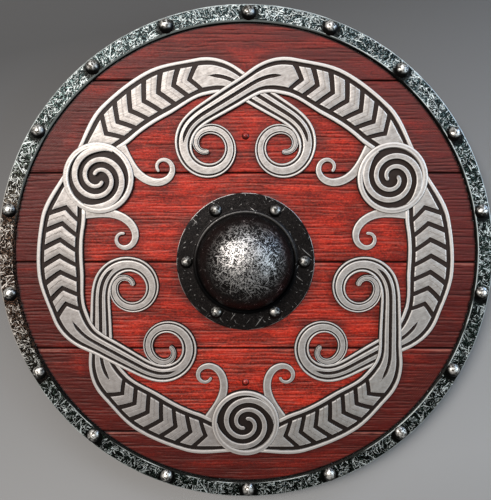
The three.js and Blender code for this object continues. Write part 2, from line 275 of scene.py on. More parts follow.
def grains(add, size, turn=0.0, detail=3.0, roughness=0.55, distortion=0.0):
    """Soft noise whose grains have the given size in millimetres along X, Y and Z, turned round Z."""
    where = add("TexCoord", output="Object")
    scale = [side / 1000 for side in size]
    laid = add("Mapping", {0: where, "Rotation": (0, 0, turn), "Scale": scale}, vector_type="TEXTURE")
    return add("TexNoise", {
        "Vector": laid, "Scale": 1.0, "Detail": detail, "Roughness": roughness, "Distortion": distortion,
    })


def strokes(add, length, width, turns, level):
    """Short straight strokes in several directions: in each, the peaks of drawn-out noise."""
    drawn = None
    for turn in turns:
        noise = grains(add, (length, width, length), turn, 1.0, 0.5, 0.35)
        one = add("MapRange", [noise, level, level + 0.035])
        drawn = one if drawn is None else add("Math", [drawn, one], operation="MAXIMUM")
    return drawn


def curls(add, size, width):
    """Thin curly scratches, size and width in millimetres: the places where swirled noise n is near
    its middle value, so that |n - 1/2| is small, broken up by a coarser noise."""
    noise = grains(add, (size, size, size), 0, 1, 0.4, 1.2)
    gap = add("Math", [noise, 0.5], operation="SUBTRACT")
    gap = add("Math", [gap], operation="ABSOLUTE")
    line = add("MapRange", [gap, 0.5 * width / size, 1.2 * width / size, 1.0, 0.0])
    shown = add("MapRange", [grains(add, (size, size, size), 1.0, 1), 0.52, 0.56])
    return add("Math", [line, shown], operation="MULTIPLY")


def red_stained_pine(add):
    """Open-grained pine brushed with dark red stain: thick and dark in the open grain and in the seams,
    thin and bright on the ridges, with a painted shadow against the rim and painted highlights below
    the grain lines and along the boards' upper edges. A patchy coat of soiling and painted shade
    darkens it towards the rim and beside the carving; it is redder below and greyer and pinker at
    the top of the shield, where it is partly painted sheen. The back is bare, greyed wood."""
    streaks = grains(add, (150, 5.5, 40), 0, 4, 0.6, 0.2)
    patches = grains(add, (55, 20, 40), 0, 3)
    fibres = grains(add, (22, 1.5, 10), 0, 3, 0.7, 0.35)
    pits = grains(add, (3.8, 1.6, 3), 0, 2, 0.7)
    mottle = grains(add, (2.6, 2.0, 3), 0, 2, 0.7)
    where = add("TexCoord", output="Object")
    up, height = (add("SeparateXYZ", [where], axis) for axis in "YZ")
    marks = ("tone", "rubbed_and_highlight", "groove")
    tone, rubbed_and_highlight, groove = (add("Attribute", output="Fac", attribute_name=mark) for mark in marks)
    red = add("ValToRGB", [streaks], stops=[
        (0.28, "#a0220f"), (0.44, "#c6321d"), (0.58, "#d63e28"), (0.74, "#e65239"),
    ])
    thick = add("MapRange", [patches, 0.47, 0.66, 0.0, 0.6])
    open_grain = add("MapRange", [fibres, 0.34, 0.46, 0.40, 0.0])
    ridges = add("MapRange", [fibres, 0.56, 0.68, 0.0, 0.42])
    for share, coat in ((thick, "#7d1b12"), (open_grain, "#4a100b"), (ridges, "#ec8068")):
        red = add("Mix", {0: share, 6: red, 7: coat}, 2, data_type="RGBA")
    mottled = add("ValToRGB", [mottle], stops=[(0.32, "#3c3c3c"), (0.50, "#808080"), (0.68, "#c8c8c8")])
    red = add("Mix", {0: 0.7, 6: red, 7: mottled}, 2, data_type="RGBA", blend_type="OVERLAY")
    pitted = add("MapRange", [pits, 0.62, 0.67, 0.0, 0.75])
    # Greyer and pinker towards the top: partly dust, partly painted sheen.
    dust_and_sheen = add("MapRange", [up, -0.06, 0.18])
    grime_shade_and_sheen = add("Mix", {0: dust_and_sheen, 6: "#431411", 7: "#522826"}, 2, data_type="RGBA")
    # Coats: the tone one is soiling and painted shade, the pale one painted highlights, and the darkest one
    # the open grain, the seams and a painted shadow against the rim.
    for share, coat in ((pitted, "#2a0b08"), (tone, grime_shade_and_sheen), (rubbed_and_highlight, "#dd8d7b"), (groove, "#170504")):
        red = add("Mix", {0: share, 6: red, 7: coat}, 2, data_type="RGBA")
    bare = add("ValToRGB", [streaks], stops=[(0.3, "#5f4a36"), (0.5, "#8a6f52"), (0.7, "#a58a68")])
    pores = add("MapRange", [fibres, 0.40, 0.56, 0.35, 0.0])
    bare = add("Mix", {0: pores, 6: bare, 7: "#43321f"}, 2, data_type="RGBA")
    front = add("MapRange", [height, (FACE - 6) / 1000, (FACE - 3.5) / 1000])
    skin = add("Mix", {0: front, 6: bare, 7: red}, 2, data_type="RGBA")
    grain = add("Bump", {"Height": fibres, "Distance": 0.0008, "Strength": 0.9})
    grain = add("Bump", {"Height": streaks, "Distance": 0.0012, "Strength": 0.8, "Normal": grain})
    shine = add("MapRange", [streaks, 0.3, 0.7, 0.60, 0.42])
    return {"Base Color": skin, "Roughness": shine, "Normal": grain, "IOR": 1.5, "Specular IOR Level": 0.24}


def silver_painted_carving(add):
    """Carved wood brushed with matte silver paint over dark brown: mottled on the flats, dark in
    the cuts and down the sides, with faint brush lines, brighter on the scuffed edges. It is darker
    and greyer towards the foot of the shield, with blacker cuts and fainter edges there, and cooler
    there at the right."""
    mottle = grains(add, (6, 6, 6), 0, 4, 0.6)
    brushed = grains(add, (15, 1.6, 5), 0.35, 3, 0.65)
    where = add("TexCoord", output="Object")
    right, up = (add("SeparateXYZ", [where], axis) for axis in "XY")
    raised = add("Attribute", output="Fac", attribute_name="carve")
    silver = add("ValToRGB", [mottle], stops=[(0.30, "#a69e98"), (0.50, "#bfb8b2"), (0.70, "#cec8c2")])
    cool = add("MapRange", [right, -0.05, 0.18])
    below_colour = add("Mix", {0: cool, 6: "#777372", 7: "#6c7676"}, 2, data_type="RGBA")
    darker_below = add("MapRange", [up, 0.12, -0.24, 0.0, 0.55])
    lines = add("MapRange", [brushed, 0.36, 0.54, 0.45, 0.0])
    edge = add("MapRange", [raised, 0.84, 0.97])
    fading = add("MapRange", [up, 0.12, -0.24, 1.0, 0.55])
    edge = add("Math", [edge, fading], operation="MULTIPLY")
    for share, coat in ((darker_below, below_colour), (lines, "#8a827c"), (edge, "#e9e3dd")):
        silver = add("Mix", {0: share, 6: silver, 7: coat}, 2, data_type="RGBA")
    ragged = add("MapRange", [mottle, 0.3, 0.7, -0.12, 0.12])
    painted = add("Math", [raised, ragged], operation="ADD")
    painted = add("MapRange", [painted, 0.30, 0.55])
    cut = add("Mix", {0: darker_below, 6: "#352c29", 7: "#0c0d0c"}, 2, data_type="RGBA")
    skin = add("Mix", {0: painted, 6: cut, 7: silver}, 2, data_type="RGBA")
    metal = add("MapRange", [painted, 0.0, 1.0, 0.0, 0.25])
    shine = add("MapRange", [brushed, 0.3, 0.7, 0.55, 0.42])
    gloss = add("MapRange", [painted, 0.0, 1.0, 0.1, 0.5])
    relief = add("Bump", {"Height": mottle, "Distance": 0.0005, "Strength": 0.4})
    relief = add("Bump", {"Height": brushed, "Distance": 0.0003, "Strength": 0.5, "Normal": relief})
    return {
        "Base Color": skin, "Metallic": metal, "Roughness": shine, "Normal": relief,
        "Specular IOR Level": gloss,
    }


def dry_brushed_rim_iron(add):
    """Iron beaten with a small hammer, blackened with a green cast, then dry-brushed with silver:
    bright flecks and curly scratches with black between, paler and greyer towards the top and
    fainter towards the foot, in part as painted light from above, brown with old oil at the left,
    the rolled edges scoured bare, and a painted highlight along the bevel's upper edge. Soot and a
    painted shadow below each rivet darken the rim round them, painted shade darkens the inner bevel,
    and a painted reflection makes the bevel smooth grey at the upper left."""
    flecks = grains(add, (2.0, 2.0, 2.0), 0, 3, 0.7, 1.0)
    broad = grains(add, (26, 26, 26), 0, 2)
    where = add("TexCoord", output="Object")
    up = add("SeparateXYZ", [where], "Y")
    marks = ("soot_and_shade", "wear_and_light", "bevel")
    soot_and_shade, wear_and_light, bevel = (add("Attribute", output="Fac", attribute_name=mark) for mark in marks)
    level = add("MapRange", [broad, 0.3, 0.7, -0.03, 0.03])
    flecks = add("Math", [flecks, level], operation="ADD")
    # More flecks towards the top and fewer towards the foot, in part painted light from above.
    raised = add("MapRange", [up, 0.21, 0.29, -0.01, 0.045])
    bright = add("Math", [flecks, raised], operation="ADD")
    bright = add("MapRange", [bright, 0.65, 0.69])
    for operation, pattern in (
        ("MAXIMUM", strokes(add, 10, 1.4, (0.2, 0.8, 1.5, 2.1, 2.8), 0.69)),
        ("MAXIMUM", curls(add, 6.5, 0.1)),
        ("MAXIMUM", curls(add, 10, 0.1)),
        ("MULTIPLY", add("MapRange", [up, -0.28, 0.12, 0.7, 1.0])),
        ("SUBTRACT", soot_and_shade),
        ("MAXIMUM", wear_and_light),
    ):
        bright = add("Math", [bright, pattern], operation=operation, use_clamp=True)
    dark, steel, oil = (
        add("ValToRGB", [flecks], stops=stops)
        for stops in (
            [(0.46, "#030403"), (0.56, "#101913"), (0.64, "#485e52")],
            [(0.45, "#040707"), (0.55, "#293738"), (0.63, "#7e9597")],
            [(0.45, "#070403"), (0.54, "#2a1a12"), (0.62, "#6f5140")],
        )
    )
    # Paler, greyer steel towards the top, in part painted light from above.
    upper = add("MapRange", [up, 0.12, 0.29])
    gap = add("VectorMath", [where, (-0.295, -0.02, 0.03)], "Value", operation="DISTANCE")
    oily = add("MapRange", [gap, 0.06, 0.15, 0.8, 0.0])
    silver = add("Mix", {0: oily, 6: "#ecf5f3", 7: "#eee0d2"}, 2, data_type="RGBA")
    skin = dark
    # Soot and painted shadow round the rivets and painted shade down the bevel give the near-black coat;
    # the grey coat is a painted reflection on the bevel at the upper left.
    for share, coat in (
        (upper, steel), (soot_and_shade, "#090a08"), (oily, oil), (bright, silver), (bevel, "#646b68"),
    ):
        skin = add("Mix", {0: share, 6: skin, 7: coat}, 2, data_type="RGBA")
    metal = add("MapRange", [bright, 0.0, 1.0, 0.85, 0.1])
    metal = add("Math", [metal, bevel], operation="SUBTRACT", use_clamp=True)
    relief = add("Bump", {"Height": flecks, "Distance": 0.0010, "Strength": 0.5})
    return {"Base Color": skin, "Metallic": metal, "Roughness": 0.42, "Normal": relief}


def scratched_boss_iron(add):
    """Iron raised over a stake and blackened in oil: near black on the flange with a few bright
    nicks, and scratched through to bright metal over the crown of the dome, a patch set a little
    up the dome so that it is partly a painted highlight. A painted highlight lies on the upper side
    of the bead, and a painted shadow, dull black, in the lower side of the dome's foot. The grit
    that scoured it is drawn coarser than real."""
    grit = grains(add, (1.7, 1.7, 1.7), 0, 3, 0.7, 1.2)
    cloudy = grains(add, (22, 22, 22), 0, 2)
    marks = ("rubbed_and_highlight", "wear_and_light", "shade")
    rubbed_and_highlight, wear_and_light, shade = (add("Attribute", output="Fac", attribute_name=mark) for mark in marks)
    level = add("MapRange", [rubbed_and_highlight, 0.0, 1.0, -0.17, 0.065])
    uneven = add("MapRange", [cloudy, 0.3, 0.7, -0.05, 0.05])
    level = add("Math", [level, uneven], operation="ADD")
    level = add("Math", [grit, level], operation="ADD")
    bright = add("MapRange", [level, 0.59, 0.64])
    scratches = strokes(add, 12, 1.2, (0.2, 0.9, 1.6, 2.3, 2.9), 0.67)
    for size in (6, 8):
        scratches = add("Math", [scratches, curls(add, size, 0.15)], operation="MAXIMUM")
    crown = add("MapRange", [rubbed_and_highlight, 0.05, 0.7])
    scratches = add("Math", [scratches, crown], operation="MULTIPLY")
    nicks = strokes(add, 7, 1.6, (0.5, 1.9, 2.7), 0.74)
    nicks = add("Math", [nicks, strokes(add, 24, 1.2, (0.9, 2.4), 0.75)], operation="MAXIMUM")
    nicks = add("Math", [nicks, 0.6], operation="MULTIPLY")
    for pattern in (scratches, nicks, wear_and_light):
        bright = add("Math", [bright, pattern], operation="MAXIMUM")
    skin = add("ValToRGB", [grit], stops=[(0.35, "#131110"), (0.52, "#211e1d"), (0.68, "#37312f")])
    for share, coat in ((bright, "#e2e0dd"), (shade, "#060505")):
        skin = add("Mix", {0: share, 6: skin, 7: coat}, 2, data_type="RGBA")
    metal = add("MapRange", [bright, 0.0, 1.0, 0.6, 0.9])
    shine = add("MapRange", [bright, 0.0, 1.0, 0.33, 0.46])
    dulled = add("Math", [shade, 0.35], operation="MULTIPLY")
    shine = add("Math", [shine, dulled], operation="ADD")
    relief = add("Bump", {"Height": grit, "Distance": 0.0006, "Strength": 0.5})
    return {
        "Base Color": skin, "Metallic": metal, "Roughness": shine, "Normal": relief,
        "Specular Tint": "#8c959b",
    }


def rubbed_rivet_steel(add):
    """Steel rivet heads: bright where they are scoured and up their upper side as a painted highlight,
    with dark pitting, and black at the foot and down the lower side as painted shade. Real pitting
    is finer than 3.6 mm, and is drawn so that it shows."""
    pitting = grains(add, (3.6, 3.6, 3.6), 0, 2, 0.6, 0.6)
    steel = add("ValToRGB", [pitting], stops=[(0.42, "#46433e"), (0.50, "#bfbcb6"), (0.58, "#fcfbf5")])
    wear_and_light = add("Attribute", output="Fac", attribute_name="wear_and_light")
    # Black where the mark is low: painted shade at the foot and down the lower side.
    skin = add("Mix", {0: wear_and_light, 6: "#100f0e", 7: steel}, 2, data_type="RGBA")
    shine = add("MapRange", [pitting, 0.3, 0.7, 0.5, 0.36])
    relief = add("Bump", {"Height": pitting, "Distance": 0.0004, "Strength": 0.5})
    return {"Base Color": skin, "Metallic": 0.75, "Roughness": shine, "Normal": relief}


def stained_nail_iron(add):
    """An iron nail head brushed over with the boards' stain, lighter in patches where it is scuffed,
    and dark at its foot and down its lower side as painted shade."""
    rubbing = grains(add, (2.5, 2.5, 2.5), 0, 3, 0.6)
    stain = add("ValToRGB", [rubbing], stops=[(0.35, "#65130f"), (0.55, "#95251a"), (0.7, "#b8402f")])
    wear_and_light = add("Attribute", output="Fac", attribute_name="wear_and_light")
    # Dark at the foot and down the lower side: painted shade.
    skin = add("Mix", {0: wear_and_light, 6: "#45100b", 7: stain}, 2, data_type="RGBA")
    relief = add("Bump", {"Height": rubbing, "Distance": 0.0003, "Strength": 0.5})
    return {"Base Color": skin, "Roughness": 0.35, "Normal": relief}


def oiled_grip_ash(add):
    """Ash darkened by oil and hands, its grain running along the bar."""
    rings = grains(add, (4, 110, 4), 0, 4, 0.6, 0.5)
    pores = grains(add, (0.9, 9, 0.9), 0, 2, 0.6)
    skin = add("ValToRGB", [rings], stops=[(0.3, "#3a2415"), (0.5, "#5e3d24"), (0.7, "#7c5636")])
    open_pores = add("MapRange", [pores, 0.56, 0.66, 0.0, 0.6])
    skin = add("Mix", {0: open_pores, 6: skin, 7: "#22140b"}, 2, data_type="RGBA")
    shine = add("MapRange", [pores, 0.40, 0.65, 0.42, 0.62])
    relief = add("Bump", {"Height": pores, "Distance": 0.0003, "Strength": 0.6})
    return {"Base Color": skin, "Roughness": shine, "Normal": relief}


def studio_paper(add):
    """Matte grey paper with painted shade: darker away from the viewer, towards +Y and a little
    towards -X.
    """
    where = add("TexCoord", output="Object")
    away = add("VectorMath", [where, (-0.2, 1, 0)], "Value", operation="DOT_PRODUCT")
    share = add("MapRange", [away, -0.32, 0.32])
    skin = add("ValToRGB", [share], stops=[(0.0, "#a6a6a6"), (1.0, "#4b4b4b")])
    return {"Base Color": skin, "Roughness": 0.9}


# ---- boards ----
def grain_depth(x, y, seed):
    """Open grain: lines about 4.4 mm apart that wander a little, fade and come back along the
    board, with finer lines between them. Returns depth in millimetres, darkness from 0 to 1, and
    a painted highlight just below each line, from 0 to 1."""
    depth, dark, ridge_highlight = 0, 0, 0
    for pitch, reach, spread, deep, start in ((4.4, 38, 0.14, 0.6, 0.28), (2.9, 13, 0.21, 0.4, 0.55)):
        wander = 1.1 * rough_noise(x / 150, y / 30, seed, 3) + 0.14 * rough_noise(x / 9, y / 5, seed + 4, 2)
        cells = y / pitch + wander
        line = np.floor(cells)
        strength = ease(value_noise(x / reach + 7.3 * line, line * 0.61, seed + 11), start, start + 0.45)
        width = spread * (0.7 + 0.6 * value_noise(line, x / 60, seed + 12))
        cut = strength * np.exp(-(((cells - line - 0.5) / width) ** 2))
        depth, dark = depth + deep * cut, np.maximum(dark, (0.35 + 0.55 * deep) * cut)
        # A painted highlight just below each line, on the side that faces the light from above.
        beside_cut = strength * np.exp(-(((cells - line - 0.2) / (0.9 * width)) ** 2))
        ridge_highlight = np.maximum(ridge_highlight, beside_cut)
        seed += 20
    return depth, np.clip(dark, 0, 1), ridge_highlight


def painted_shade_beside_carving(x, y):
    """Painted shade on the boards along the ornament and round the boss: 1 at their edges and 0 a
    finger's width away, from the distance to each band, tendril and roundel."""
    flat = np.stack([x, y], -1)
    inside = np.maximum(distance_in_roundels(flat), BOSS_RADIUS - np.hypot(x, y))
    for start, pieces, widths in (
        (BAND_START, BAND_PIECES, BAND_WIDTHS),
        (TENDRIL_START, TENDRIL_PIECES, TENDRIL_WIDTHS),
    ):
        path = walk(start, pieces)
        for repeat in range(REPEATS):
            for mirrored in (False, True):
                inside = np.maximum(inside, depth_under(flat, path, widths, repeat, mirrored))
    return ease(inside, -13, -1)


def board_plan(index):
    """A board from the front: stations along X and, at each of them, its lower edge, its upper edge
    and the shield's circle. The edges are the seams, cut off by the circle and, at the middle of
    the shield, by the hand hole."""
    upper = (BOARD_COUNT / 2 - index) * BOARD_PITCH - SEAM_GAP / 2
    lower = upper - BOARD_PITCH + SEAM_GAP
    nearest = min(abs(lower), abs(upper))
    reach = math.sqrt((BOARD_RADIUS - 0.3) ** 2 - (nearest + BOARD_TIP) ** 2)
    x = np.linspace(-reach, reach, 2 * round(reach / STATION_STEP) + 1)
    if nearest < HAND_HOLE_RADIUS:
        hole = HAND_HOLE_RADIUS * np.sin(np.linspace(-math.pi / 2, math.pi / 2, 41))
        x = np.unique(np.concatenate([x[np.abs(x) > HAND_HOLE_RADIUS + 1.5], hole]))
    circle = np.sqrt(BOARD_RADIUS**2 - x**2)
    hollow = np.sqrt(np.clip(HAND_HOLE_RADIUS**2 - x**2, 0, None))
    if upper > 0:
        return x, np.maximum(lower, hollow), np.minimum(upper, circle), circle
    return x, np.maximum(lower, -circle), np.minimum(upper, -hollow), circle


def board_front(index, x, bottom, top, circle):
    """The front of a board: its places in the plane and its heights, in rows from the lower edge to
    the upper, with how dark its cuts are, a painted shadow against the rim among them, and its
    painted highlights. It is bevelled at both edges and opened by the grain, with painted highlights
    along the ridges and in patches below the upper edge."""
    width = (top - bottom)[None, :]
    edge_rows = np.array([0, 0.25, 0.6, 1.1, 1.8, 2.6])[:, None]
    near = edge_rows * np.minimum(1, width / 12)
    middle = np.linspace(0, 1, round(BOARD_PITCH / GRAIN_STEP))[1:-1, None]
    between_edges = near[-1:] + middle * (width - 2 * near[-1:])
    offset = np.concatenate([near, between_edges, width - near[::-1]])
    y = bottom + offset
    x = np.broadcast_to(x, y.shape)
    out = np.hypot(x, y)
    edge = np.minimum(offset, width - offset)
    chipped = 1.9 + 1.1 * rough_noise(x / 14, index, 40 + index, 3)
    bevel = SEAM_BEVEL * (1 - np.clip(edge / chipped, 0, 1)) ** 1.4
    depth, dark, ridge_highlight = grain_depth(x, y, 100 + 50 * index)
    fade = ease(edge, 0.3, 1.6)
    height = FACE - 0.05 - bevel - depth * fade
    # A painted shadow on the boards just inside the rim, counted among the dark cuts.
    painted_rim_shadow = ease(out, RIM_INNER - 2.2, RIM_INNER - 0.6)
    seam = 1 - ease(edge, 0.15, 0.8 * chipped)
    groove = np.maximum(dark * fade, np.maximum(seam, painted_rim_shadow))
    # A painted highlight in patches below the upper edge, which faces the light from above.
    below_top = width - offset
    thickness = 4.2 + 2.4 * rough_noise(x / 16, 0, 95 + index, 3)
    lip = ease(below_top, 0.7, 1.7) * (1 - ease(below_top, 0.4 * thickness, thickness))
    lip = lip * (np.abs(top) < circle - 1)
    lip = 0.42 * lip * ease(value_noise(x / 23, 0, 90 + index), 0.15, 0.7)
    ridge_highlight = ridge_highlight * fade * (1 - 0.5 * ease(out, *DARKER_OUT))
    return x, y, height, groove, np.maximum(lip, 0.22 * ridge_highlight)


def board(index, material):
    """One board as a closed section carried along X: its front, the upper side, a back that is sawn
    almost flat, and the lower side. Its tone is the grime on it, patchy, thicker towards the rim
    and beside the carving."""
    x, bottom, top, circle = board_plan(index)
    x_front, y_front, z_front, groove, rubbed_and_highlight = board_front(index, x, bottom, top, circle)
    front = slice(len(y_front))
    y_back = bottom + np.linspace(1, 0, 16)[:, None] * (top - bottom)
    z_back = BACK + 0.08 * value_noise(x / 9, y_back / 5, 60 + index)
    top_side, bottom_side = (np.broadcast_to(side, (2, x.size)) for side in (top, bottom))
    z_side = np.array([FACE - 5.0, BACK + 4.0])[:, None] * np.ones_like(x)
    y = np.concatenate([y_front, top_side, y_back, bottom_side])
    z = np.concatenate([z_front, z_side, z_back, z_side[::-1]])
    x = np.broadcast_to(x, y.shape)
    rows, columns = y.shape
    ring = np.arange(rows) * columns
    faces = [grid_faces(rows, columns, close_rows=True), ring[None, :], ring[None, ::-1] + columns - 1]
    # Tone: a patchy share for each board, and darkening towards the rim that is partly soiling and partly
    # painted shade.
    near_rim = ease(np.hypot(x, y), *DARKER_OUT)
    patchy = value_noise(x / 60, y / 10, 80 + index)
    tone = BOARD_TONES[index] * (0.6 + 0.8 * patchy) + near_rim * BOARD_SIDES[index] * (0.7 + 0.6 * patchy)
    # Painted shade beside the carving and round the boss.
    tone[front] += painted_shade_beside_carving(x_front, y_front) * (0.15 + 0.45 * patchy[front])
    unmarked = np.zeros((rows - len(y_front), columns))
    marks = {
        "groove": np.concatenate([groove, unmarked]),
        "tone": np.clip(tone, 0, 0.9),
        "rubbed_and_highlight": np.concatenate([rubbed_and_highlight, unmarked]),
    }
    name = f"board_{index + 1}"
    points = np.stack([x, y, z], -1)
    add_piece(f"stained_{name}", [name], points, faces, material, marks, 60)


# ---- rim and boss ----
def rim_section():
    """The channel's closed section as (radius, height) points: the front with its inner bevel, the
    outer edge, the lip behind, and the inside, which holds the boards' edge."""
    outer, wall, lip_edge = SHIELD_RADIUS, SHIELD_RADIUS - RIM_SHEET, SHIELD_RADIUS - RIM_BACK_LIP
    foot_round, front_round, back_round, lip_round = 0.6, 2.6, 1.6, 1.0
    sunk, clear = FACE - 0.2, BACK - 0.1
    front = along(
        [(RIM_INNER, sunk)]
        + arc((RIM_INNER + foot_round, FACE + 0.5), foot_round, 180, 110, 3)
        + [(RIM_CREST, RIM_FRONT)]
        + arc((outer - front_round, RIM_FRONT - front_round), front_round, 90, 0, 6),
        0.7,
    )
    side = [(outer, height) for height in np.linspace(RIM_FRONT - 4.5, RIM_BACK + 4.5, 5)]
    lip = arc((outer - back_round, RIM_BACK + back_round), back_round, 0, -90, 5)
    lip += arc((lip_edge + lip_round, RIM_BACK + lip_round), lip_round, -90, -180, 4)
    channel = [(lip_edge, clear), (wall, clear), (wall, sunk)]
    return np.concatenate([front, side, lip, channel])


def rim(material):
    """A channel bent round the edge: its section turned round the axis, with radius r and height z
    moved by noise. The front is beaten, with shallow dents about 7 mm across, and a smooth bevel
    runs down to the boards at its inner edge."""
    section, segments = rim_section(), 1152
    angle = np.arange(segments) / segments * TAU
    radius, height = np.repeat(section[:, None, :], segments, 1).transpose(2, 0, 1)
    run = angle * SHIELD_RADIUS
    front = height > FACE + 0.4
    beaten = ease(radius, RIM_CREST - 0.6, RIM_CREST + 1.0) * ease(SHIELD_RADIUS - radius, 0.6, 3.0) * front
    dents = rough_noise(run / 7.5, radius / 7.5, 300, 2)
    chips = rough_noise(run / 2.2, radius / 2.2, 310, 2)
    soot_and_shadow = soot_and_shadow_at(radius * np.cos(angle), radius * np.sin(angle))
    height = height + (0.32 * dents + 0.16 * chips * (1 - soot_and_shadow) - 0.15) * beaten
    lip = (1 - ease(radius, RIM_INNER + 1, RIM_INNER + 6)) * front
    radius = radius + 0.5 * lip * rough_noise(run / 34, 0, 320, 3)
    edge = 1 - ease(SHIELD_RADIUS - radius, 0.0, 2.5)
    radius = radius - 0.35 * edge * value_noise(run / 5.0, height / 6, 330)
    points = np.stack([radius * np.cos(angle), radius * np.sin(angle), height], -1)
    faces = [grid_faces(len(section), segments, close_rows=True, close_columns=True)]
    marks = rim_wear_and_light(radius, height, angle, front, soot_and_shadow)
    add_piece("hammered_rim", ["rim"], points, faces, material, marks, 70)


def rim_wear_and_light(radius, height, angle, front, soot_and_shadow):
    """Where the rim is bright, grey or dark: scoured bright in patches along the rolled outer edge,
    with a painted highlight in a broken line along the bevel's upper edge and a painted reflection,
    smooth grey, down the bevel at the upper left. There and at the far left, where the rim is
    blackened, the bright line is missing. Painted shade darkens the whole bevel, and the rivets'
    rings darken the rim round them."""
    run = angle * SHIELD_RADIUS
    patchy = 0.5 + 0.7 * value_noise(run / 11, 0, 340)
    rolled = ease(height, RIM_FRONT - 2.4, RIM_FRONT - 0.9) * (1 - ease(SHIELD_RADIUS - radius, 1.0, 2.2))
    broken = ease(value_noise(run / 21, 0, 350), 0.15, 0.6)
    from_crest = radius - RIM_CREST
    crest = front * ease(from_crest, -0.6, -0.1) * (1 - ease(from_crest, 0.1, 0.7))
    on_bevel = front * (1 - ease(from_crest, -0.5, 0.5))
    reflection_side = ease(np.cos(angle - math.radians(118)), 0.55, 0.85)
    sooty_side = ease(np.cos(angle - math.radians(190)), 0.8, 0.93)
    # A painted highlight in a broken line along the bevel's upper edge.
    bright_line = 0.9 * crest * broken * (1 - np.maximum(reflection_side, sooty_side))
    return {
        "wear_and_light": np.maximum(rolled * np.clip(patchy, 0, 1), bright_line),
        # a painted reflection, smooth grey, down the bevel at the upper left
        "bevel": on_bevel * reflection_side * ease(radius, RIM_INNER + 0.9, RIM_INNER + 1.6),
        # Soot and painted shadow round the rivets, and painted shade down the whole bevel.
        "soot_and_shade": np.maximum(soot_and_shadow, on_bevel),
    }


def soot_and_shadow_at(x, y):
    """How dark the rim is at each place: 1 beside a rivet's head, most of all below it, and 0 a few
    millimetres away. Soot and painted shade make the ring, and a painted shadow carries it further
    below the head."""
    soot_and_shadow = np.zeros_like(x)
    for name in RIM_RIVETS:
        low, high = box_of(name)
        # Centred 2.5 mm below the head, so that a painted shadow reaches below it.
        gap = np.hypot(x - (low[0] + high[0]) / 2, y + 2.5 - (low[1] + high[1]) / 2)
        soot_and_shadow = np.maximum(soot_and_shadow, 1 - ease(gap, 9.8, 13.4))
    return 0.95 * soot_and_shadow


def boss_profile():
    """The boss's section as (radius, height) points from the top of the dome over its foot and edge
    to the top of the hollow, and how many of them lie on its face."""
    top, rise, hollow = BOSS_FLANGE_TOP, BOSS_TOP - BOSS_FLANGE_TOP, DOME_RADIUS - BOSS_SHEET
    bead_round, valley_round, edge_round = 2.1, 1.4, 0.9
    quarter = np.radians(np.linspace(90, 4, 64))
    dome = [(DOME_RADIUS * math.cos(a), top + rise * math.sin(a)) for a in quarter]
    dome[0] = (0, BOSS_TOP)
    bead = arc((61.9, top + 0.6), bead_round, 150, 20, 8)
    bead += arc((65.4, top + valley_round), valley_round, 200, 270, 4)
    flange = along([(66.2, top), (BOSS_RADIUS - edge_round, top)], 1.1).tolist()
    edge = arc((BOSS_RADIUS - edge_round, top - edge_round), edge_round, 80, 0, 4) + [(BOSS_RADIUS, FACE)]
    under = [(75, FACE), (64, FACE), (hollow, FACE + 0.5)]
    inside = [(hollow * math.cos(a), FACE + rise * math.sin(a)) for a in quarter[::-2]]
    inside[-1] = (0, BOSS_TOP - BOSS_SHEET)
    face = dome + bead + flange
    return face + edge + under + inside, len(face)


def boss(material):
    """A dome over a flat flange, one sheet: an ellipse for the dome, a valley and a raised bead
    round its foot, a slightly uneven flange, and the hollow inside one sheet's thickness in."""
    profile, face_rows = boss_profile()

    def beaten(radius, height, angle):
        x, y = radius * np.cos(angle), radius * np.sin(angle)
        shell = np.zeros_like(radius)
        shell[:face_rows] = 1
        dents = rough_noise(x / 9 + 40, y / 9 + height / 9, 400, 3)
        on_flange = ease(radius, 67, 70) * (1 - ease(radius, 82, 84))
        on_dome = ease(height, FACE + 6, FACE + 12)
        radius = radius + shell * on_dome * 0.22 * dents * radius / DOME_RADIUS
        height = height + shell * (0.22 * on_dome + 0.16 * on_flange) * dents - shell * 0.1
        return radius, height

    points, faces = turned(profile, 288, wobble=beaten)
    x, y, z = points.T
    radius = np.hypot(x, y)
    wear_and_light = ease(radius, BOSS_RADIUS - 0.8, BOSS_RADIUS - 0.3) * ease(z, FACE + 0.6, FACE + 1.4)
    patchy = ease(value_noise(x / 9, y / 9, 430), 0.25, 0.7)
    on_bead = np.exp(-(((radius - 62.0) / 1.3) ** 2)) * (z > BOSS_FLANGE_TOP + 1)
    # The upper side of the bead, which takes a painted highlight.
    upper = ease(y / (radius + 1), -0.1, 0.8)
    crown = np.hypot(x - 2, y - 5)
    foot = ease(radius, 55, 59) * (1 - ease(radius, 62, 67))
    marks = {
        # the scoured flange edge, and a painted highlight on the upper side of the bead
        "wear_and_light": np.maximum(wear_and_light * patchy, 0.12 * on_bead * upper),
        # the scoured crown, set a little towards +Y so that it is partly a painted highlight
        "rubbed_and_highlight": (1 - ease(crown, 19, 53)) * (z > BOSS_FLANGE_TOP + 6),
        # a painted shadow, dull black, in the lower side of the dome's foot
        "shade": foot * ease(-y / (radius + 1), -0.5, 0.6),
    }
    add_piece("beaten_boss", ["boss"], points, faces, material, marks, 60)


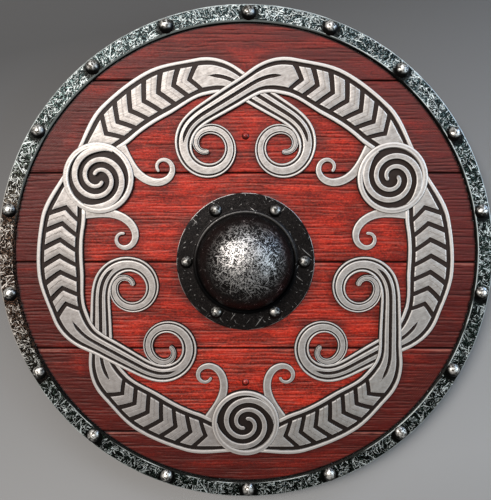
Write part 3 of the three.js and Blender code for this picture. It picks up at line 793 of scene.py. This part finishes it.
# ---- rivets and grip ----
def domed_rivet(name, node, material, sizes, seed, black_to=0.9, bare=1.0):
    """A round head with a hammered, slightly flattened crown, a straight shank, and a peened end
    behind: a profile of arcs turned round its own axis, pushed in a little here and there. The
    head is black at its foot and down its lower side as painted shade, and from black_to of its
    rise upwards as bare as bare says, the bare cap leaning towards +Y as a painted highlight."""
    seat, bottom, head, rise, shank = sizes
    low, high = box_of(node)
    centre = (low[:2] + high[:2]) / 2
    sphere = (head**2 + rise**2) / (2 * rise)
    spread = math.degrees(math.acos((sphere - rise) / sphere))
    crown = arc((0, seat + rise - sphere), sphere, 90, 90 - spread * 0.985, 11)
    crown[0] = (0, seat + rise)
    stem = [(head, seat + 0.15), (head, seat - 0.05), (shank, seat), (shank, bottom + 0.2)]
    peen = [(shank * 1.3, bottom), (shank * 1.3, bottom - 0.6), (shank, bottom - 1.2), (0, bottom - 1.4)]

    def hammered(radius, height, angle):
        x, y = radius * np.cos(angle), radius * np.sin(angle)
        dents = rough_noise(x / 4.5 + seed, y / 4.5, 500 + seed, 2)
        above = ease(height, seat + 0.2, seat + rise * 0.5)
        return radius * (1 + 0.02 * dents * above), height + 0.3 * dents * above - 0.15 * above

    points, faces = turned(crown + stem + peen, 40, centre, hammered)
    # The bare cap leans towards +Y as a painted highlight, the lower side left black as painted shade.
    leant = points[:, 2] + 0.55 * rise * (points[:, 1] - centre[1]) / head
    wear_and_light = bare * ease(leant, seat + rise * 0.35, seat + rise * black_to)
    wear_and_light = np.maximum(wear_and_light, points[:, 2] < bottom + 0.1)
    add_piece(name, [node], points, faces, material, {"wear_and_light": wear_and_light}, 50)


def grip(material):
    """A bar along Y: rounded sections, wide and square at the ends, narrower and round in the
    hand, closed by small domes at both ends. A section is a superellipse whose power falls from 7
    at the ends to 3.4 in the hand."""
    half_length = GRIP_HIGH[1]
    y = np.linspace(-half_length + 0.4, half_length - 0.4, 181)
    y = np.concatenate([[-half_length], y, [half_length]])[:, None]
    hand = 1 - ease(np.abs(y), 44, 74)
    shape = 2 / (7 - 3.6 * hand)
    end = np.clip((half_length - np.abs(y)) / 9, 0, 1)
    shrink = np.sqrt(1 - (1 - end) ** 2) * 0.35 + 0.65
    half_width = (GRIP_HIGH[0] + (GRIP_HAND_WIDTH / 2 - GRIP_HIGH[0]) * hand) * shrink
    turn = np.arange(56) / 56 * TAU
    cosine, sine = np.cos(turn), np.sin(turn)
    x = half_width * np.sign(cosine) * np.abs(cosine) ** shape
    depth = (BACK - 0.1) / 2
    z = depth + depth * shrink**2 * np.sign(sine) * np.abs(sine) ** shape
    y = np.broadcast_to(y, x.shape)
    wear = rough_noise(y / 30, turn * 2, 600, 2)
    points = np.stack([x * (1 + 0.012 * wear), y, z], -1)
    add_piece("oiled_grip_bar", ["grip"], points, tube_faces(*x.shape), material, {}, 50)


# ---- ornament ----
def walk(start, pieces):
    """A path whose curvature changes evenly along each piece, sampled every millimetre: the
    heading is the running sum of the curvature, the place that of the heading's direction."""
    radius, angle, heading = start
    share = [(np.arange(length) + 0.5) / length for length, _, _ in pieces]
    curvature = np.concatenate([1 / a + (1 / b - 1 / a) * t for t, (_, a, b) in zip(share, pieces)])
    direction = heading + np.concatenate([[0], np.cumsum(curvature)])
    middle = direction[:-1] + curvature / 2
    x = radius * math.cos(angle) + np.concatenate([[0], np.cumsum(np.cos(middle))])
    y = radius * math.sin(angle) + np.concatenate([[0], np.cumsum(np.sin(middle))])
    return np.stack([x, y, direction], -1)


def beside(path, distance, offset):
    """The point at a distance along the path and an offset to its left, for whole arrays."""
    step = np.arange(len(path))
    x, y, direction = (np.interp(distance, step, path[:, k]) for k in range(3))
    return np.stack([x - offset * np.sin(direction), y + offset * np.cos(direction)], -1)


def eased(pairs, distance):
    """A smooth curve through (distance, value) pairs, level at each of them."""
    at, value = np.array(pairs, float).T
    k = np.clip(np.searchsorted(at, distance) - 1, 0, len(at) - 2)
    share = ease((distance - at[k]) / (at[k + 1] - at[k]), 0, 1)
    return value[k] + (value[k + 1] - value[k]) * share


def rounded_tip(distance, half_width):
    """Half widths brought to a round end: a quarter circle over the last of the path."""
    left = np.clip((distance[-1] - distance) / half_width[-1], 0, 1)
    return half_width * np.sqrt(np.clip(1 - (1 - left) ** 2, 0.02, 1))


def placed(flat, repeat, mirrored):
    """Points turned to their place among the repeats, mirrored across their axis where asked."""
    turn = repeat * TAU / REPEATS
    x = -flat[..., 0] if mirrored else flat[..., 0]
    y = flat[..., 1]
    return np.stack([x * math.cos(turn) - y * math.sin(turn), x * math.sin(turn) + y * math.cos(turn)], -1)


def depth_under(flat, path, widths, repeat, mirrored):
    """How far each point lies inside the outline of a band or tendril, or below 0 outside it, from
    the nearest of the discs set every 3 mm along its path."""
    samples = np.arange(0, len(path), 3)
    line = placed(path[samples, :2], repeat, mirrored)
    half = eased(widths, samples)
    points = flat.reshape(-1, 2)
    found = np.full(len(points), -99.0)
    for first in range(0, len(points), 4000):
        block = points[first:first + 4000]
        gap = np.hypot(block[:, None, 0] - line[None, :, 0], block[:, None, 1] - line[None, :, 1])
        found[first:first + 4000] = (half[None, :] - gap).max(1)
    return found.reshape(flat.shape[:-1])


def strip(name, flat, height, carve, material, keep=1):
    """A carved strip lying on the boards. flat[i, j] are its points in the plane, rows along it and
    columns across it, height[i, j] above the boards. It closes underneath and at both ends, and
    where keep falls to 0 it is cut down to pass under what lies over it."""
    height = np.where(height > PASSING, PASSING + (height - PASSING) * keep, height)
    foot = np.full((len(flat), 2), UNDERSIDE)
    flat = np.concatenate([flat, flat[:, -1:], flat[:, :1]], 1)
    height = np.concatenate([height, foot], 1)
    carve = np.concatenate([carve, 0 * foot], 1)
    points = np.concatenate([flat, FACE + height[..., None]], -1)
    faces = tube_faces(*height.shape)
    add_piece(name, ["ornament"], points, faces, material, {"carve": carve}, 38)


def section(half_width, steps):
    """Half of a strip's section, from its outer foot to its middle line, for all rows at once:
    inset from the outline, height above the boards and how silver it is at each step."""
    return [np.stack(np.broadcast_arrays(half_width, *part)[1:], -1) for part in zip(*steps)]


def both_halves(path, forward, offset, height, carve):
    """A strip's points in the plane, heights and silver, from those of its left half: the right
    half is the same across the path."""
    left, right = (beside(path, forward, side * offset) for side in (1, -1))
    halves = ((left, right), (height, height), (carve, carve))
    return [np.concatenate([one, other[:, -2::-1]], 1) for one, other in halves]


def carved_rows():
    """Distances along a band and how deep the chevron cut is there, from 0 at the top to 1 at the
    floor: steep sides at each cut, a thin scored line half way between two cuts."""
    cut_side = ((-0.7, 0), (-0.1, CUT_LIP), (0.35, 1), (1.5, 1))
    scored_side = ((-0.8, 0), (-0.35, 0.3))
    rows = [(0.0, 0.0)]
    for k in range(CHEVRON_COUNT):
        start = CHEVRON_FIRST + k * CHEVRON_PITCH
        end = start + CHEVRON_CUT
        middle = (end + start + CHEVRON_PITCH) / 2
        for inwards, depth in cut_side:
            rows += [(start + inwards, depth), (end - inwards, depth)]
        for inwards, depth in scored_side if k + 1 < CHEVRON_COUNT else ():
            rows += [(middle + inwards, depth), (middle - inwards, depth)]
    last = max(rows)[0]
    length = sum(piece[0] for piece in BAND_PIECES)
    plain = [np.arange(4, CHEVRON_FIRST - 2, 3.5), np.arange(last + 2, length - 30, 2.2)]
    plain += [np.linspace(length - 30, length - 3, 20), length - 3 * (1 - np.linspace(0.15, 1, 9)) ** 2]
    return np.array(sorted(rows + [(distance, 0.0) for distance in np.concatenate(plain)]))


def across(half_width, top, panel_cut, split):
    """Half of a band's section. Outside is a raised border, then a dark cut, then the panel, which
    the chevrons are cut into and which has points enough to follow them. Where split is 1 a cut
    runs down the middle of the panel."""
    size = np.minimum(1, half_width / 9)
    border, groove = band_edges(half_width)
    inner = border + groove
    middle_cut = split * np.minimum(1.8, 0.15 * half_width)
    panel = top - (top - RECESS) * panel_cut
    silver = 1 - ease(panel_cut, 0.15, 0.6)
    silver = np.where(panel_cut == CUT_LIP, 1.0 / FLAT, silver)
    middle = panel - (panel - RECESS) * ease(split, 0.0, 0.5)
    middle_silver = FLAT * silver * (1 - ease(split, 0.1, 0.5))
    middle_edge = FLAT + (1 - FLAT) * split
    flat_from, flat_to = inner + 1.8 * size, half_width - middle_cut - 1.8 * size * split
    flat_part = [
        (flat_from + (flat_to - flat_from) * share, panel + 0.1 * share * (1 - panel_cut), FLAT * silver)
        for share in (0, 0.25, 0.5, 0.75, 1)
    ]
    return section(half_width, [
        (-0.8, 0, 0),
        (-0.1, top - 1.0, 0),
        (0.15 * size, top - 0.45, 0.6),
        (0.75 * size, top, 1),
        (border / 2, top + 0.1, 0.9),
        (border - 0.6 * size, top, 1),
        (border, top - 0.4, 0.7),
        (border + 0.4 * size, RECESS, 0),
        (inner - 0.35 * size, RECESS, 0),
        (inner, np.minimum(panel, top - 0.4), 0.7 * silver),
        (inner + 0.6 * size, panel, silver),
        *flat_part,
        (half_width - middle_cut - 0.6 * size * split, panel + 0.1 * (1 - panel_cut), middle_edge * silver),
        (half_width - middle_cut, middle, middle_silver),
        (half_width, middle, middle_silver),
    ])


def band_edges(half_width):
    """Widths of a band's raised border and of the cut inside it."""
    return np.minimum(4.2, 0.26 * half_width), np.minimum(5.0, 0.24 * half_width)


def band(name, repeat, mirrored, material):
    """A band: the section of across() carried along its path. Rows lean forward towards the
    borders along the chevroned part, so that every cut follows a row. It passes under the roundels,
    and a mirrored one also under the bands that aren't."""
    path = walk(BAND_START, BAND_PIECES)
    distance, panel_cut = carved_rows().T
    last_cut = CHEVRON_FIRST + (CHEVRON_COUNT - 1) * CHEVRON_PITCH
    lean = CHEVRON_LEAN * ease(distance, 0, CHEVRON_FIRST - 6)
    lean = lean * (1 - ease(distance, last_cut + 8, last_cut + 80))
    half_width = rounded_tip(distance, eased(BAND_WIDTHS, distance))
    split = ease(distance, last_cut + 24, last_cut + 36) * (1 - ease(distance, SPLIT_END, SPLIT_END + 14))
    inset, height, carve = across(half_width, UNDER if mirrored else OVER, panel_cut, split)
    offset = half_width[:, None] - inset
    panel_half = (half_width - band_edges(half_width)[0])[:, None]
    forward = distance[:, None] + lean[:, None] * np.minimum(1, offset / panel_half)
    offset = offset * eased(BAND_WIDTHS, forward) / eased(BAND_WIDTHS, distance)[:, None]
    flat, height, carve = both_halves(path, forward, offset, height, carve)
    flat = placed(flat, repeat, mirrored)
    keep = 1 - ease(distance_in_roundels(flat), 0.5, 2.5)
    if mirrored:
        covered = depth_under(flat, path, BAND_WIDTHS, repeat, False)
        keep = keep * (1 - ease(covered, 0.8, 3.6))
    strip(name, flat, height, carve, material, keep)


def roundel_centres():
    """The middles of the roundels and the angles at which they lie, half way between the axes on
    which the bands cross."""
    angle = math.pi / 2 + (2 * np.arange(REPEATS) - 1) * math.pi / REPEATS
    return np.stack([ROUNDEL_RING * np.cos(angle), ROUNDEL_RING * np.sin(angle)], -1), angle


def distance_in_roundels(flat):
    """How far each point lies inside the nearest roundel's edge, below 0 outside."""
    centres, _ = roundel_centres()
    gaps = [np.hypot(flat[..., 0] - x, flat[..., 1] - y) for x, y in centres]
    return ROUNDEL_RADIUS - np.min(gaps, 0)


def rib(name, path, distance, half_width, top, floor, repeat, mirrored, material):
    """A rounded rib carried along a path, such as a tendril or a roundel's spiral."""
    size = np.minimum(1, half_width / 4)
    inset, height, carve = section(half_width, [
        (-0.5 * size, floor, 0),
        (0, top - 0.8, 0.2),
        (0.3 * size, top - 0.3, 0.8),
        (0.9 * size, top, 1),
        (0.5 * half_width, top + 0.12, FLAT),
        (half_width, top + 0.2, FLAT),
    ])
    offset = half_width[:, None] - inset
    forward = np.broadcast_to(distance[:, None], offset.shape)
    flat, height, carve = both_halves(path, forward, offset, height, carve)
    strip(name, placed(flat, repeat, mirrored), height, carve, material)


def spiral_path(centre, start_angle):
    """An Archimedean spiral from the roundel's border towards its middle, resampled to steps of a
    millimetre: the radius falls evenly with the angle."""
    share = np.linspace(0, 1, 400)
    angle = start_angle + share * ROUNDEL_TURNS * TAU
    radius = (ROUNDEL_RADIUS - ROUNDEL_BORDER) * (1 - share) + 5 * share
    x, y = centre[0] + radius * np.cos(angle), centre[1] + radius * np.sin(angle)
    run = np.concatenate([[0], np.cumsum(np.hypot(np.diff(x), np.diff(y)))])
    even = np.arange(0, run[-1], 1.0)
    direction = np.unwrap(np.arctan2(np.gradient(y, run), np.gradient(x, run)))
    return np.stack([np.interp(even, run, part) for part in (x, y, direction)], -1)


def roundel(index, centre, angle, material):
    """A disc with a raised border and two spiral ribs that run from the border to the middle."""
    radius, border = ROUNDEL_RADIUS, ROUNDEL_BORDER
    profile = [(0, RECESS)]
    profile += [(r, RECESS) for r in np.linspace(6, radius - border - 0.8, 9)]
    profile += [(radius - border, ROUNDEL_TOP - 0.5), (radius - border + 0.5, ROUNDEL_TOP)]
    profile += [(radius - border / 2, ROUNDEL_TOP + 0.15)]
    profile += [(radius - 0.9, ROUNDEL_TOP), (radius - 0.2, ROUNDEL_TOP - 0.5)]
    foot = radius + 0.8
    profile += [(radius + 0.1, ROUNDEL_TOP - 1.2), (foot, 0), (foot, UNDERSIDE), (0, UNDERSIDE)]
    profile = [(r, FACE + z) for r, z in profile]
    points, faces = turned(profile, 144, centre)
    out = np.hypot(points[:, 0] - centre[0], points[:, 1] - centre[1])
    carve = ease(points[:, 2], FACE + RECESS + 1.5, FACE + ROUNDEL_TOP - 0.6) * (out < radius + 0.05)
    carve = np.where(np.abs(out - radius + border / 2) < 0.5, FLAT * carve, carve)
    name = f"roundel_{index + 1}"
    add_piece(name, ["ornament"], points, faces, material, {"carve": carve}, 38)
    for arm in (0, 1):
        path = spiral_path(centre, angle + math.pi / 2 + arm * math.pi)
        distance = (len(path) - 1) * np.sin(np.linspace(0, math.pi / 2, 120))
        share = distance / distance[-1]
        half_width = rounded_tip(distance, (4.2 - 1.9 * share) * (0.3 + 0.7 * ease(share, 0, 0.15)))
        arm_name = f"{name}_spiral_{arm + 1}"
        rib(arm_name, path, distance, half_width, ROUNDEL_TOP, RECESS - 0.3, 0, False, material)


def tendril(name, repeat, mirrored, material):
    """A slim rib that springs from the foot of a roundel and curls up."""
    path = walk(TENDRIL_START, TENDRIL_PIECES)
    distance = (len(path) - 1) * np.sin(np.linspace(0, math.pi / 2, 90))
    half_width = rounded_tip(distance, eased(TENDRIL_WIDTHS, distance))
    rib(name, path, distance, half_width, TENDRIL_TOP, 0.0, repeat, mirrored, material)


# ---- the shield ----
def build_shield():
    """Every piece of the shield, each in its own finish."""
    wood = material_of(red_stained_pine)
    for index in range(BOARD_COUNT):
        board(index, wood)
    rim(material_of(dry_brushed_rim_iron))
    boss(material_of(scratched_boss_iron))
    grip(material_of(oiled_grip_ash))
    silver = material_of(silver_painted_carving)
    for repeat in range(REPEATS):
        for mirrored in (False, True):
            number = 2 * repeat + (2 if mirrored else 1)
            band(f"carved_band_{number}", repeat, mirrored, silver)
            tendril(f"carved_tendril_{number}", repeat, mirrored, silver)
    for index, (centre, angle) in enumerate(zip(*roundel_centres())):
        roundel(index, centre, angle, silver)
    steel = material_of(rubbed_rivet_steel)
    for index, node in enumerate(RIM_RIVETS):
        domed_rivet(f"domed_{node}", node, steel, RIM_RIVET, index)
    for index, node in enumerate(BOSS_RIVETS):
        domed_rivet(f"domed_{node}", node, steel, BOSS_RIVET, 30 + index, 0.75, 0.42)
    nail = material_of(stained_nail_iron)
    for node in ("grip_rivet_top", "grip_rivet_bottom"):
        domed_rivet(f"painted_{node}", node, nail, GRIP_NAIL, 50)


# ---- studio ----
def aimed(data, place, target):
    """Puts a light or camera at a place so that it looks at the target, with +Y as up as can be."""
    thing = linked(data)
    back = Vector(place) - Vector(target)
    right = Vector((0, 1, 0)).cross(back)
    up = back.cross(right)
    turn = Matrix([right.normalized(), up.normalized(), back.normalized()]).transposed()
    thing.matrix_world = Matrix.Translation(place) @ turn.to_4x4()
    return thing


def softbox(name, place, size, power, hex_code):
    """A rectangular softbox facing the shield, in metres and watts."""
    data = bpy.data.lights.new(name, "AREA")
    data.shape = "RECTANGLE"
    data.size, data.size_y = size
    data.energy = power
    data.color = paint(hex_code)[:3]
    aimed(data, place, (0, 0, 0.03))


def studio():
    """Grey paper, a softbox up left of the shield, one beyond its top, two cool ones at its right,
    the lower of which shines blue in the dome, and a close camera just short of straight above."""
    paper, reach, corners = bpy.data.meshes.new("paper"), 9, 96
    turns = [k * TAU / corners for k in range(corners)]
    paper.from_pydata([(reach * math.cos(a), reach * math.sin(a), 0) for a in turns], [], [range(corners)])
    paper.materials.append(material_of(studio_paper))
    linked(paper)
    softbox("key_softbox", (-0.90, 0.75, 1.80), (0.9, 0.7), 42, "#fff8f2")
    softbox("far_softbox", (0.10, 1.15, 0.95), (1.2, 0.4), 6, "#f2f6ff")
    softbox("right_softbox", (1.20, 0.25, 0.70), (0.4, 0.8), 7, "#cde0ef")
    softbox("low_softbox", (0.95, 0.60, 0.24), (0.5, 0.25), 2.2, "#8fbcf2")
    world = bpy.data.worlds.new("studio_air")
    world.use_nodes = True
    air = world.node_tree.nodes["Background"].inputs
    air["Color"].default_value = paint("#b6b8b6")
    air["Strength"].default_value = 0.2
    bpy.context.scene.world = world
    bpy.context.scene.view_settings.view_transform = "Standard"
    camera = bpy.data.cameras.new("camera")
    camera.sensor_width, camera.lens = 36, 32.4
    face, distance, tilt = FACE / 1000, 0.556, math.radians(6.7)
    place = (0, distance * math.sin(tilt), face + distance * math.cos(tilt))
    bpy.context.scene.camera = aimed(camera, place, (0, 0.015, face))


build_shield()
studio()
